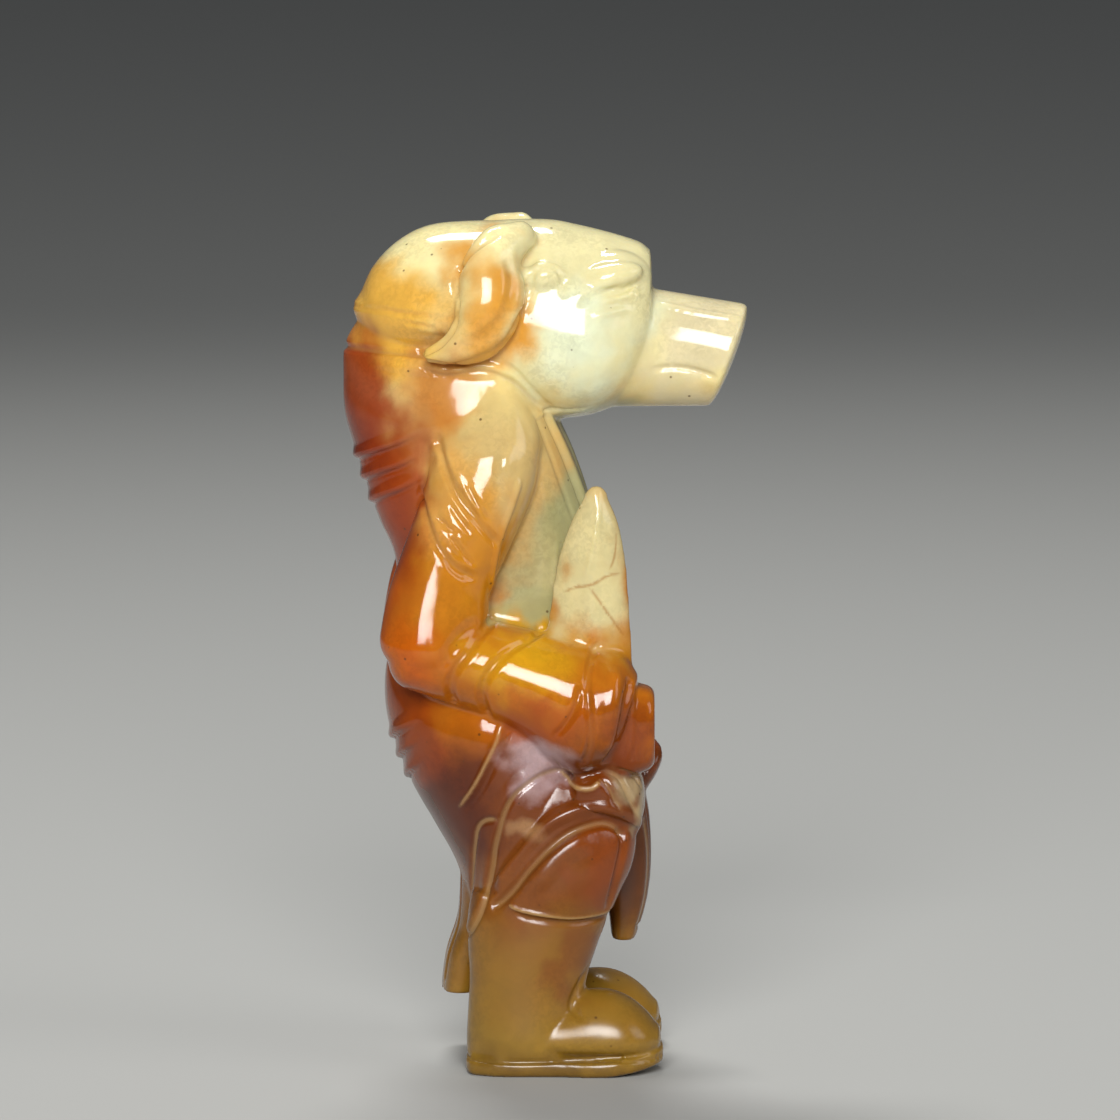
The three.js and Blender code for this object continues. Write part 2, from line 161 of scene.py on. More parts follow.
def dome(end, inner, bulge):
    """The rings and the pole of a round end, from its last section outwards."""
    out = (end[:3] - inner[:3]) / np.linalg.norm(end[:3] - inner[:3])
    angles = np.linspace(0, math.pi / 2, DOME_RINGS + 2)[1:-1] if bulge else []
    rings = [ring_of(end, math.cos(a), bulge * math.sin(a) * out) for a in angles]
    return rings, end[:3] + bulge * out


def mass(name, keys, bulge=(0.0, 0.0)):
    """A closed mass. bulge is how far each round end stands out beyond its last section."""
    rows = smooth_rows(keys, RINGS_PER_GAP)
    first_dome, first_pole = dome(rows[0], rows[1], bulge[0])
    last_dome, last_pole = dome(rows[-1], rows[-2], bulge[1])
    rings = np.array(first_dome[::-1] + [ring_of(row) for row in rows] + last_dome)
    bpy.ops.object.select_all(action="DESELECT")
    bpy.ops.mesh.primitive_uv_sphere_add(segments=SIDES, ring_count=len(rings) + 1)
    ball = bpy.context.object
    ball.name = name
    for vertex in ball.data.vertices:
        x, y, z = vertex.co
        ring = round(math.acos(max(-1, min(1, z))) / math.pi * (len(rings) + 1)) - 1
        corner = round(math.atan2(y, x) / (2 * math.pi) * SIDES) % SIDES
        poles = {-1: first_pole, len(rings): last_pole}
        vertex.co = poles[ring] if ring in poles else rings[ring][corner]
    masses.append(ball)


def knob(name, place, size, turn=0):
    """A small rounded mass, such as a brow. turn tips it forwards, in degrees."""
    bpy.ops.object.select_all(action="DESELECT")
    bpy.ops.mesh.primitive_uv_sphere_add(segments=32, ring_count=20, location=place, scale=size,
                                         rotation=(0, math.radians(turn), 0))
    bpy.context.object.name = name
    masses.append(bpy.context.object)


# %% [markdown]
# ## Head and cap
# The boar's head is long and level, as wide as its cap, with full cheeks. The snout is a
# mass of its own, almost round, that runs straight out of the face, and the disc at its end
# leans: its upper edge stands furthest forward. The ears are long lobes that start at the
# crown and lie back along the head. The cap is a smooth dome behind them, with a rolled
# band round its lower edge.

# %% Make the skull and the cap
CROWN = 58.95
CHEEK = 6.5
CAP = 6.5

mass("skull", [
    upright(-6, 46.5, CROWN - 0.3, CHEEK - 0.8, widest=51.6),
    upright(-2.5, 45.4, CROWN, CHEEK - 0.5, widest=50.9),
    upright(0.4, 45.1, CROWN, CHEEK - 0.1, widest=50.2),
    upright(2.3, 45.2, CROWN - 0.35, CHEEK + 0.1, widest=49.9),
    upright(4, 45.6, CROWN - 0.75, CHEEK - 0.15, widest=50),
    upright(5.6, 46.4, CROWN - 1.2, CHEEK - 1.0, widest=50.8),
    upright(6.7, 48, CROWN - 1.6, CHEEK - 1.9, widest=52.2, power=2.2),
    upright(7.3, 50, CROWN - 2.1, CHEEK - 2.7, widest=53.4, power=2.3),
], bulge=(0.5, 0.5))
mass("cap", [
    upright(-12.75, 51.8, 53.9, 1.8),
    upright(-11.9, 50.5, 55.7, CAP - 3),
    upright(-10.2, 49.5, 57.45, CAP - 1.7, widest=53),
    upright(-8, 49, CROWN - 0.4, CAP - 0.8, widest=53),
    upright(-5, 49, CROWN - 0.1, CAP - 0.15, widest=53),
    upright(-2, 49, CROWN - 0.1, CAP - 0.3, widest=53),
], bulge=(0.3, 0.6))
mass("cap_band", [
    level(53.6, -12.85, -1, CAP - 0.4, widest=-4),
    level(53.2, -13.3, -1, CAP - 0.05, widest=-4),
    level(52.7, -13.3, -1, CAP, widest=-4),
    level(51.9, -13.0, -1, CAP - 0.1, widest=-4),
    level(51.5, -12.6, -1, CAP - 0.4, widest=-4),
])

# %% Make the snout
SNOUT_BASE = np.array([[3.4, 0, 45.9], [3.4, 0, 54.8]])
SNOUT_DISC = np.array([[11.35, 0, 45.95], [14.0, 0, 53.05]])
SNOUT_HALF = 3.5


def snout_section(share, half, power):
    """A section of the snout, some share of the way from the face to the disc."""
    low, high = SNOUT_BASE * (1 - share) + SNOUT_DISC * share
    return section((low + high) / 2, (0, half, 0), (high - low) / 2, power=power)


mass("snout", [
    snout_section(0, SNOUT_HALF + 1.9, 2.2),
    snout_section(0.2, SNOUT_HALF + 1.25, 2.2),
    snout_section(0.42, SNOUT_HALF + 0.25, 2.3),
    snout_section(0.68, SNOUT_HALF, 2.3),
    snout_section(0.9, SNOUT_HALF + 0.05, 2.2),
    snout_section(1, SNOUT_HALF + 0.15, 2.2),
], bulge=(0, 0.6))

# %% Make the brows, the eyes and the ears
for side in (NEAR, FAR):
    knob("brow", (5.0, 2.7 * side, 55.4), (2.5, 2.1, 1.7), turn=8)
    knob("brow_side", (4.4, 4.3 * side, 55.35), (2.5, 1.3, 1.0), turn=-10)
    knob("eye", (5.1, 4.3 * side, 53.8), (1.7, 0.9, 0.5), turn=-12)
    knob("ear_tuft", (-0.1, 4.95 * side, 55.4), (1.6, 1.0, 1.05))
    mass("ear", limb([
        (-1.3, 4.0, 58.1, (0.9, 1.2), 1.3),
        (-2.6, 5.0, 57.3, (1.4, 2.0), 1.7),
        (-3.5, 5.9, 55.9, (2.35, 2.2), 1.9),
        (-3.8, 6.35, 54.2, (2.5, 2.2), 2.0),
        (-4.3, 6.6, 52.6, (2.45, 2.0), 1.85),
        (-5.2, 6.7, 51.4, (2.1, 1.5), 1.55),
        (-6.5, 6.7, 50.5, (1.2, 1.0), 1.25),
        (-8.0, 6.6, 50.1, (0.5, 0.5), 0.8),
    ], side), bulge=(0.9, 0.5))
print("masses of the head:", len(masses))

# %% [markdown]
# ## Body
# From the side the back is one long curve: hunched below the cap, hollow at the waist and
# full again at the seat, where the robe gathers before it narrows behind the knees. The
# chest and the belly are bare and come forward between the two sides of the robe.

# %% Make the body
BACK = -14
CHEST = 8.0
HIP = 8.4

mass("body", [
    level(52.5, -12.6, -3, 4.4),
    level(50.4, BACK + 0.15, -1, CHEST - 3.2, widest=-4),
    level(48, BACK, 0.2, CHEST - 2.1, widest=-3.6),
    level(45.5, BACK + 0.1, 0.9, CHEST - 1.3, widest=-3.4),
    level(43, BACK + 0.8, 2.0, CHEST - 1.4, widest=-3.6),
    level(40.5, BACK + 1.6, 2.9, CHEST - 1.7, widest=-4),
    level(38, BACK + 2.5, 3.6, CHEST - 2.1),
    level(35.3, BACK + 3.6, 4.3, CHEST - 2.6),
    level(31.5, BACK + 3.7, 4.9, CHEST - 2.6),
    level(27.5, BACK + 2.9, 5, HIP - 1.4),
    level(24.5, BACK + 2.95, 4.8, HIP - 0.1),
    level(21.8, BACK + 3.75, 4.6, HIP + 0.1),
    level(19.2, BACK + 4.9, 4.7, HIP),
    level(16.6, BACK + 6.4, 4.3, HIP - 0.3),
    level(13.8, BACK + 7.9, 2.8, HIP - 0.7),
    level(10.8, BACK + 8.7, 0.5, HIP - 1.4),
    level(9.4, BACK + 9.2, -1.5, HIP - 2.2),
], bulge=(0.6, 0.4))
mass("collar", [
    level(50.6, -13.3, 0.4, CHEST - 3.4, widest=-4),
    level(49.9, -13.75, 0.8, CHEST - 2.6, widest=-4),
    level(49.1, -13.6, 1, CHEST - 2.1, widest=-4),
    level(48.5, -13.2, 1, CHEST - 2.2, widest=-4),
])

# %% [markdown]
# ## Arms and blade
# Both arms hang from the shoulders in wide sleeves and bend at the elbow. The right hand
# comes forward at the belt and holds a broad leaf-shaped blade upright. The left hand
# rests a little lower, in front of the belly.

# %% Make the sleeves and the hands
ARM_Y = 7.2
SLEEVE = 3.3

for side in (NEAR, FAR):
    mass("upper_arm", limb([
        (-3.4, 3.6, 48.4, (1.2, 3.4), 1.8),
        (-3.0, 3.8, 46.8, (1.8, 4.3), 2.8),
        (-2.7, 4.75, 44.4, (2.5, 5.1), 3.0),
        (-2.8, 5.25, 43.0, (2.5, 5.2), 3.1),
        (-2.9, 5.5, 41.4, (2.4, 5.2), 3.1),
        (-5.2, 5.8, 38.2, (3.3, 3.9), 3.2),
        (-7.0, 6.05, 35.5, (3.8, 3.0), 3.25),
        (-7.9, 6.55, 32.8, (4.2, 3.0), 3.25),
        (-8.2, 7.0, 30.2, (4.4, 3.2), 3.3),
    ], side), bulge=(0.7, 2.4))

mass("near_sleeve", limb([
    (-8.7, 6.8, 29.6, 2.75, 3.1),
    (-6, 6.3, 29, 3.15, 3.7),
    (-3.4, 6.25, 28.2, 3.35, 3.9),
    (-0.3, 6.45, 27.1, 3.75, 4.0),
    (2.0, 6.75, 26, 4.25, 4.0),
    (3.8, 6.95, 25.2, 4.45, 4.0),
    (5.2, 6.6, 24.7, 3.6, 3.5),
], NEAR), bulge=(2.1, 0.5))
mass("near_hand", [
    upright(4.2, 21, 27, 2.6, y=-5.9, power=2.6),
    upright(6.0, 20.9, 27.2, 2.7, y=-5.9, power=3.2),
    upright(7.25, 21.3, 27, 2.55, y=-5.9, power=3.2),
    upright(7.65, 21.7, 26.6, 2.25, y=-5.9, power=2.8),
])
mass("far_sleeve", limb([
    (-8.3, ARM_Y, 30, 2.8, SLEEVE - 0.1),
    (-6, ARM_Y + 0.1, 28.4, 3.2, SLEEVE),
    (-3.2, ARM_Y + 0.1, 26.6, 3.3, SLEEVE),
    (0, ARM_Y - 0.2, 24.8, 3.5, SLEEVE),
    (2.8, ARM_Y - 1, 23.2, 3.6, SLEEVE),
    (5, ARM_Y - 2.2, 21.8, 3.2, SLEEVE - 0.4),
], FAR, power=2.2), bulge=(1.8, 0.6))
mass("far_hand", limb([
    (3.4, 4.9, 21.9, 2.4, 2.4),
    (5.4, 3.8, 20.6, 2.7, 2.3),
    (7, 2.9, 19.6, 2.3, 2.0),
], FAR, power=2.4), bulge=(0, 0.8))

# %% Make the blade
BLADE_Y = -6.2

mass("blade", [
    level(z, left, right, thick, y=BLADE_Y, power=1.6) for z, left, right, thick in (
        (24.5, -0.8, 6.2, 1.6),
        (27.5, -1.3, 6.15, 1.6),
        (29.6, -0.7, 6.1, 1.5),
        (31.2, 0.2, 6.0, 1.4),
        (33.5, 0.6, 5.85, 1.35),
        (35.8, 0.95, 5.65, 1.3),
        (38.4, 1.8, 5.15, 1.1),
        (40.2, 2.75, 4.4, 0.75),
    )
], bulge=(0, 0.85))
mass("blade_root", [
    level(z, left, right, thick, y=-4.6) for z, left, right, thick in (
        (25, 0.2, 5.2, 1.8),
        (28, 0.3, 5.1, 1.8),
        (31, 1.2, 4.9, 1.5),
        (33.5, 1.9, 4.7, 1.0),
        (35.5, 2.5, 4.4, 0.5),
    )
], bulge=(0, 0.4))
print("masses with the arms and the blade:", len(masses))

# %% [markdown]
# ## Robe, legs and boots
# Below the hands the robe opens: a panel hangs down in front, a longer tail hangs behind,
# and a bunch of cloth lies over the right thigh. The trousers are full over the knees and
# gathered into tall boots with thick soles, and the toes lift a little off the ground.

# %% Make the robe
mass("front_panel", [
    level(20.5, 2, 6.5, 2.8, y=1.6, power=3.6),
    level(17.5, 2.4, 7.3, 3.1, y=1.6, power=3.6),
    level(14, 3.6, 7.5, 3.2, y=1.6, power=3.6),
    level(11, 4.4, 7.2, 3.2, y=1.6, power=3.6),
    level(8.4, 4.7, 6.4, 3, y=1.6, power=3.6),
])
mass("tail", [
    level(13, -5.9, -2.5, 5, y=1.4, power=3),
    level(9.8, -6.1, -3, 5, y=1.8, power=3),
    level(7.2, -6.9, -4, 4.8, y=2, power=3),
    level(4.8, -7.25, -4.6, 4.6, y=2.2, power=3),
])
mass("sash", [
    upright(2.4, 18.4, 21.6, 3.0, y=-5.4, power=2.4),
    upright(4.6, 17.9, 21.8, 3.3, y=-5.2, power=2.4),
    upright(6.4, 17.3, 21.2, 2.7, y=-4.6, power=2.4),
], bulge=(0.6, 0.7))

# %% Make the legs and the boots
LEG_Y = 5.3
BOOT = 3.3
SOLE = 1.1
TOE_SPRING = 0.75
TOE_SPRING_FROM, TOE_TIP = 4, 8.3
FAR_FOOT = 0.94
SOLE_OUTLINE = ((-5.45, 1.2), (-5.0, 2.5), (-3, 3.4), (0.5, 3.45), (4, 3.8), (6, 3.5),
                (7.4, 2.6), (8.05, 1.6), (TOE_TIP, 0.7))


def lift(x):
    """How far the foot leaves the ground towards the tip of the toe."""
    share = (x - TOE_SPRING_FROM) / (TOE_TIP - TOE_SPRING_FROM)
    return TOE_SPRING * min(max(share, 0), 1) ** 1.6


for side in (NEAR, FAR):
    y = LEG_Y * side
    foot_height = 1 if side == NEAR else FAR_FOOT
    mass("knee", [
        level(20, -1.5, 4.5, 2.4, y=y),
        level(18.6, -2.4, 5.8, 3.0, y=y),
        level(16.6, -3, 6.4, 3.5, y=y),
        level(14.4, -3.7, 6.1, 3.95, y=y),
        level(12.6, -4.3, 5.3, 3.85, y=y),
        level(11.3, -4.7, 4.75, 3.5, y=y),
    ], bulge=(0.8, 0))
    mass("boot_shaft", [
        level(12.6, -5, 4.1, BOOT - 0.2, y=y),
        level(11, -5.3, 4.4, BOOT, y=y),
        level(8.8, -5.3, 3.7, BOOT, y=y),
        level(6.6, -5.2, 3.0, BOOT - 0.1, y=y),
        level(4.5, -5.3, 2.8, BOOT - 0.1, y=y),
        level(2.6, -5.4, 3, BOOT, y=y),
        level(0.8, -5.4, 3.2, BOOT - 0.1, y=y),
    ])
    mass("foot", [
        upright(x, low, high * foot_height, half, y=y, widest=2.25) for x, low, high, half in (
            (-1, 0.8, 4.2, 3.0),
            (1.6, 0.8, 5.1, 3.3),
            (3.2, 0.8, 5.65, 3.5),
            (4.7, 0.8, 5.6, 3.6),
            (6, 0.85, 5.05, 3.45),
            (7.1, 1.0, 4.15, 2.85),
            (7.8, 1.2, 3.3, 1.95),
        )
    ], bulge=(0, 0.35))
    mass("sole", [
        section((x, y, SOLE / 2 + lift(x)), (0, half, 0), (0, 0, SOLE / 2), power=12)
        for x, half in SOLE_OUTLINE
    ])
print("masses in all:", len(masses))

# %% [markdown]
# ## One skin
# A carver leaves no seam between an arm and the body it was cut from. So the masses are
# joined into one object, and a voxel remesh lays one even skin over the outside. It can
# leave small closed bubbles where masses nearly meet inside, and they are deleted.
# Smoothing then rounds the inner corners, as grinding does.

# %% Join the masses under one skin
VOXEL = 0.15


def apply(kind, name, **settings):
    """Add a modifier to the figure and apply it at once."""
    modifier = figure.modifiers.new(name, kind)
    for key, value in settings.items():
        setattr(modifier, key, value)
    bpy.ops.object.modifier_apply(modifier=name)


bpy.ops.object.select_all(action="DESELECT")
for ball in masses:
    ball.select_set(True)
bpy.context.view_layer.objects.active = masses[0]
bpy.ops.object.join()
figure = bpy.context.object
figure.name = figure.data.name = "jade_figure"
bpy.ops.object.transform_apply(location=True, rotation=True, scale=True)
bpy.ops.object.mode_set(mode="EDIT")
bpy.ops.mesh.select_all(action="SELECT")
bpy.ops.mesh.normals_make_consistent(inside=False)
bpy.ops.object.mode_set(mode="OBJECT")
apply("REMESH", "skin", mode="VOXEL", voxel_size=VOXEL)
joined = len(figure.data.vertices)
print("points after the remesh:", joined)

# %% Keep the outer skin, and smooth it
GRINDING_PASSES = 12

bpy.ops.object.mode_set(mode="EDIT")
bpy.ops.mesh.select_all(action="DESELECT")
bpy.ops.object.mode_set(mode="OBJECT")
max(figure.data.vertices, key=lambda point: point.co.z).select = True
bpy.ops.object.mode_set(mode="EDIT")
bpy.ops.mesh.select_linked()
bpy.ops.mesh.select_all(action="INVERT")
bpy.ops.mesh.delete(type="VERT")
bpy.ops.object.mode_set(mode="OBJECT")
print("points in inner bubbles, deleted:", joined - len(figure.data.vertices))
apply("SMOOTH", "grinding", factor=0.5, iterations=GRINDING_PASSES)
print("points in the skin:", len(figure.data.vertices))

# %% [markdown]
# ## How the lines are cut
# A carved line is a path on the skin. Its points are given as seen from one side, and each
# is dropped straight onto the stone. Then every point of the skin near the path moves in or
# out by how far it lies from the path: down into a groove, up along a ridge, or up on one
# side only, which gives the edge of a fold. The tone that lies in some of the lines, pale
# or where it is negative brown, is kept with the points, for the colouring.

# %% Lay lines on the skin
STEP = 0.2
POINTS_PER_GAP = 12
FAR_OUT = 40.0
TOWARDS = {"near": (0, 1, 0), "far": (0, -1, 0), "front": (-1, 0, 0), "back": (1, 0, 0)}


def evenly(points):
    """A smooth path through points, in equal small steps."""
    dense = smooth_rows(points, POINTS_PER_GAP)
    run = np.concatenate([[0], np.cumsum(np.linalg.norm(np.diff(dense, axis=0), axis=1))])
    places = np.linspace(0, run[-1], max(int(run[-1] / STEP), 3))
    return np.array([np.interp(places, run, column) for column in dense.T]).T


def drop(points, view):
    """Paths seen from the near or the far side are x, z; from the front or the back, y, z."""
    towards = Vector(TOWARDS[view])
    landed = []
    for a, z in evenly(points):
        start = Vector((a, 0, z)) if view in ("near", "far") else Vector((0, a, z))
        hit, place, _, _ = figure.ray_cast(start - FAR_OUT * towards, towards)
        if hit:
            landed.append(place)
    return np.array(landed[::-1] if view == "far" else landed)


def around(points, x=-4.0, y=0.0):
    """A path round an upright axis, by angle and height. 0 is straight back, 90 is near.
    For the even steps, 10 degrees count as a millimetre."""
    landed = []
    for angle, z in evenly(np.array(points) * (0.1, 1)) * (10, 1):
        out = Vector((-math.cos(math.radians(angle)), -math.sin(math.radians(angle)), 0))
        axis = Vector((x, y, z))
        hit, place, _, _ = figure.ray_cast(axis + FAR_OUT * out, -out)
        if hit:
            landed.append(place)
    return np.array(landed)


# %% Cut along a line
LEFT, RIGHT = 1, -1
EDGE = 0.22
END_SHARE = 0.15
TONE_WIDTH = 0.85


def read(mesh, name, size=3):
    """One vector for each point of a mesh, as rows of an array."""
    values = np.empty(len(mesh.vertices) * size)
    mesh.vertices.foreach_get(name, values)
    return values.reshape(-1, size)


places = read(figure.data, "co")
outward = read(figure.data, "normal")
relief = np.zeros(len(places))
paleness = np.zeros(len(places))


def ease(share):
    """A share from 0 to 1, with a soft start and a soft end."""
    return share * share * (3 - 2 * share)


def swell(distance, reach):
    """1 on the line or the spot itself, and 0 from its reach on."""
    return np.clip(1 - (distance / reach) ** 2, 0, None) ** 2


def cut(line, depth, width, raised=0.0, run=1.0, side=LEFT, pale=0.0, taper=0.9):
    """A groove of some depth and half width, or a ridge where the depth is negative. One
    side of it may also stand raised, and sinks back into the skin over the run."""
    reach = max(width, run if raised else 0)
    inside = (places > line.min(0) - reach) & (places < line.max(0) + reach)
    close = np.flatnonzero(np.all(inside, axis=1))
    if not len(close):
        return
    spots = places[close]
    squares = (spots ** 2).sum(1)[:, None] + (line ** 2).sum(1) - 2 * spots @ line.T
    nearest = squares.argmin(1)
    close, spots, nearest = (v[squares.min(1) < reach ** 2] for v in (close, spots, nearest))
    heading = np.gradient(line, axis=0)
    heading /= np.linalg.norm(heading, axis=1)[:, None]
    offset, heading = spots - line[nearest], heading[nearest]
    inner = ((nearest > 0) & (nearest < len(line) - 1))[:, None]
    offset = offset - inner * (offset * heading).sum(1)[:, None] * heading
    distance = np.linalg.norm(offset, axis=1)
    leftness = (offset * np.cross(outward[close], heading)).sum(1)
    share = ease(np.clip(leftness * side / EDGE + 0.5, 0, 1))
    ends = np.minimum(nearest, len(line) - 1 - nearest) * STEP / taper
    fade = ease(np.clip(ends + END_SHARE, 0, 1))
    relief[close] += fade * (raised * share * swell(distance, run) - depth * swell(distance, width))
    tone = pale * fade * swell(distance, width * TONE_WIDTH)
    paleness[close] = np.where(np.abs(tone) > np.abs(paleness[close]), tone, paleness[close])


def press(place, reach, depth):
    """A soft hollow, or a bump where the depth is negative."""
    away = np.linalg.norm((places - place) / reach, axis=1)
    relief[away < 1] -= depth * swell(away[away < 1], 1)


# %% [markdown]
# ## Carve the head
# The face is cut shallow: a crease under the brow, thin lids along the eye, an arch over the
# tuft before the ear, the line of the mouth and the edge of the snout's flat top, with two
# soft hollows in the disc for nostrils. A line inside the ear leaves its front edge rolled.
# A shallow one parts it from the cheek, and a deeper one from the cap behind it.

# %% Carve the head
VIEWS = (("near", NEAR), ("far", FAR))

for view, side in VIEWS:
    cut(drop([(2.3, 53.45), (3.2, 54.1), (4.3, 54.5), (5.2, 54.75)], view), 0.2, 0.4, raised=0.16, run=1.3)
    cut(drop([(3.9, 53.7), (5.0, 53.9), (5.7, 54.1), (6.2, 54.45), (6.6, 54.9)], view), -0.2, 0.3)
    cut(drop([(3.3, 52.7), (4.5, 52.95), (6.0, 53.2)], view), -0.16, 0.34)
    cut(drop([(1.5, 54.6), (1.2, 53.9)], view), 0.1, 0.4)
    cut(drop([(-0.9, 54.5), (-0.8, 55.6), (0.0, 56.1), (0.8, 55.95), (1.25, 55.3), (1.3, 54.2)], view),
        0.16, 0.4)
    cut(drop([(7.4, 48.8), (8.8, 48.95), (9.9, 48.85), (10.9, 48.6), (12.1, 48.15)], view), 0.22, 0.34)
    cut(drop([(7.9, 53.3), (10.1, 52.8), (12.2, 52.45), (13.8, 52.2)], view), -0.16, 0.45)
    cut(drop([(-2.9, 58.6), (-3.9, 58.1), (-4.9, 57.4), (-5.5, 56.6), (-5.95, 55.3), (-6.0, 53.4),
              (-6.25, 52.1), (-7.0, 51.1), (-7.9, 50.5), (-8.8, 50.1)], view), 0.34, 0.5)
    cut(drop([(-2.9, 57.3), (-2.3, 56.2), (-2.15, 55.0), (-2.6, 53.2), (-3.7, 51.9), (-5.0, 51.1),
              (-6.4, 50.6)], view), 0.22, 0.75, taper=1.5)
    cut(drop([(-1.0, 57.4), (-0.95, 55.6), (-1.15, 54.0), (-1.75, 52.6), (-2.65, 51.1), (-4.0, 50.15),
              (-5.8, 49.55), (-7.2, 49.3)], view), 0.16, 0.6, taper=1.5)
    cut(drop([(-7.2, 52.55), (-8.6, 52.7), (-10, 52.85), (-11.3, 53.05)], view), 0.13, 0.28, pale=0.2)
    cut(drop([(-7.3, 51.8), (-8.6, 52.1), (-9.9, 52.3)], view), 0.12, 0.28, pale=0.2)
    press((12.9, 1.25 * side, 50.3), (1.5, 0.75, 0.6), 0.55)
cut(around([(-75, 52.65), (-40, 52.95), (0, 53.05), (40, 52.95), (75, 52.65)]), 0.1, 0.3, pale=0.15)
cut(drop([(-1.6, 47.6), (0, 47.45), (1.6, 47.6)], "front"), 0.12, 0.3)
print("deepest cut in the head, mm:", round(-relief.min(), 2))

# %% [markdown]
# ## Carve the sleeves, the hands and the blade
# Each upper sleeve has a soft crest, two long curved folds that sweep down and forward with
# short folds beside them, and a thin ridge down its front edge. The cloth wraps round the
# forearm in rings, and ends in a broad band with deep soft folds at the hand. The blade has
# a thin ridge by its tip and hair-fine brown cracks, which are a tone with hardly a depth.

# %% Carve the upper sleeves
LONG_FOLDS = [
    [(-7.35, 44.8), (-7.0, 43.1), (-6.4, 41.6), (-5.6, 40.2), (-4.5, 38.9), (-3.7, 37.9), (-3.0, 37.0)],
    [(-8.6, 41.0), (-8.2, 39.3), (-7.7, 38.0), (-6.9, 36.7), (-5.9, 35.7), (-4.5, 34.85)],
]
SHORT_FOLDS = [
    [(-6.0, 41.5), (-5.2, 40.2), (-4.2, 38.9)],
    [(-5.3, 41.5), (-4.6, 40.1), (-3.6, 38.7)],
    [(-7.5, 39.3), (-6.6, 38.5), (-5.8, 38.0)],
    [(-6.5, 40.2), (-5.8, 39.1), (-4.9, 38.0)],
    [(-7.2, 38.0), (-6.3, 36.9), (-5.4, 36.0)],
    [(-6.5, 38.1), (-5.4, 36.5), (-4.6, 35.7)],
    [(-6.8, 36.1), (-6.1, 35.4), (-5.2, 34.8)],
]
COLLAR_EDGE = [(-8.7, 49.45), (-8.1, 49.0), (-7.2, 48.7), (-6.2, 48.7), (-5.1, 48.95), (-4.1, 49.0),
               (-3.1, 48.7), (-1.9, 48.0), (-1.0, 47.1), (-0.2, 46.2)]

for view, _ in VIEWS:
    for fold in LONG_FOLDS:
        cut(drop(fold, view), 0.32, 0.52, raised=0.16, run=1.1, pale=0.35)
    for fold in SHORT_FOLDS:
        cut(drop(fold, view), 0.22, 0.34, raised=0.12, run=0.5, taper=0.7)
    cut(drop([(-2.5, 44.3), (-2.65, 42.9), (-3.0, 41.2)], view), -0.22, 0.9, taper=1.5)
    cut(drop([(-1.6, 41.8), (-2.2, 39.9), (-2.8, 38.3), (-3.2, 37.0), (-3.5, 35.4), (-3.7, 33.6)],
             view), -0.2, 0.4, pale=0.25)
    cut(drop([(-8.1, 44.6), (-8.2, 42.7), (-8.4, 41.1), (-8.8, 39.4)], view), 0.2, 0.5)
    cut(drop(COLLAR_EDGE, view), 0.16, 0.35, raised=0.12, run=0.9, pale=0.4)
    cut(drop([(-2.9, 49.6), (-2.0, 48.9), (-1.1, 47.9), (-0.1, 46.8), (0.8, 46.0)], view), 0.14, 0.35)

# %% Carve the near forearm and hand
RINGS = [
    [(-3.4, 31.9), (-4.3, 31.0), (-5.2, 29.9), (-6.0, 28.8), (-6.45, 27.5), (-6.2, 26.0)],
    [(-0.1, 31.0), (-2.1, 30.1), (-3.2, 29.2), (-3.95, 28.1), (-4.25, 26.8), (-3.8, 25.1)],
]
for fold in RINGS:
    cut(drop(fold, "near"), 0.36, 0.55, raised=0.1, run=0.9, pale=0.2, taper=0.5)
    cut(drop(fold, "far"), 0.28, 0.48, raised=0.1, run=0.9, taper=0.5)
cut(drop([(-4.4, 31.8), (-5.6, 31.0), (-6.5, 29.9), (-7.0, 28.7)], "near"), 0.18, 0.9)
cut(drop([(2.6, 27.8), (2.3, 26.4), (1.6, 25.1), (0.6, 23.8)], "near"), 0.3, 0.45, raised=0.1, run=0.8)
cut(drop([(3.8, 30.3), (3.25, 29.3), (3.05, 28.1), (3.05, 26.7), (3.2, 25.0), (3.15, 23.6), (2.7, 22.0)],
         "near"), 0.3, 0.42, raised=0.08, run=0.7, pale=0.2, taper=0.5)
cut(drop([(4.9, 28.9), (4.9, 27.1), (4.7, 24.9), (4.1, 22.8)], "near"), -0.22, 0.8)
cut(drop([(6.0, 28.0), (5.8, 26.7), (5.4, 24.9), (4.9, 23.2), (4.2, 21.9)], "near"), 0.3, 0.65, pale=0.1,
    taper=0.4)
cut(drop([(6.25, 27.2), (6.1, 25.6), (6.0, 23.9), (5.8, 22.3)], "near"), -0.12, 0.35)
for x in (6.2, 6.7, 7.15):
    cut(drop([(x, 23.3), (x - 0.1, 22.6), (x - 0.15, 22)], "near"), 0.1, 0.2, taper=0.4)

# %% Carve the far hand and the blade
for z in (25.5, 24.2, 22.9):
    cut(drop([(-7.6, z), (-6, z + 0.1), (-4.4, z)], "front"), 0.2, 0.36, taper=0.8)
for z in (21.4, 20.4, 19.5):
    cut(drop([(2.2, z - 0.4), (3.4, z - 0.1), (4.8, z + 0.2)], "front"), 0.22, 0.4, taper=0.5)
cut(drop([(2.5, 25.9), (1.6, 24.5), (1.3, 22.9), (1.6, 21.3)], "far"), 0.3, 0.5, raised=0.1, run=0.8)
cut(drop([(3.7, 40.3), (3.75, 39.0), (3.45, 37.2), (2.9, 34.9)], "near"), -0.12, 0.3)
BLADE_CRACKS = [
    [(1.1, 33.6), (2.2, 34.1), (3.3, 34.3), (4.4, 34.9), (5.6, 35.0)],
    [(3.0, 34.3), (4.2, 32.6), (5.7, 30.4)],
    [(4.4, 34.9), (4.9, 36.4), (5.0, 38.2)],
]
for crack in BLADE_CRACKS:
    cut(drop(crack, "near"), 0.02, 0.2, pale=-0.3)
cut(drop([(1.0, 37.2), (0.75, 35.2), (0.7, 33.1), (0.3, 31.5)], "near"), -0.1, 0.35)
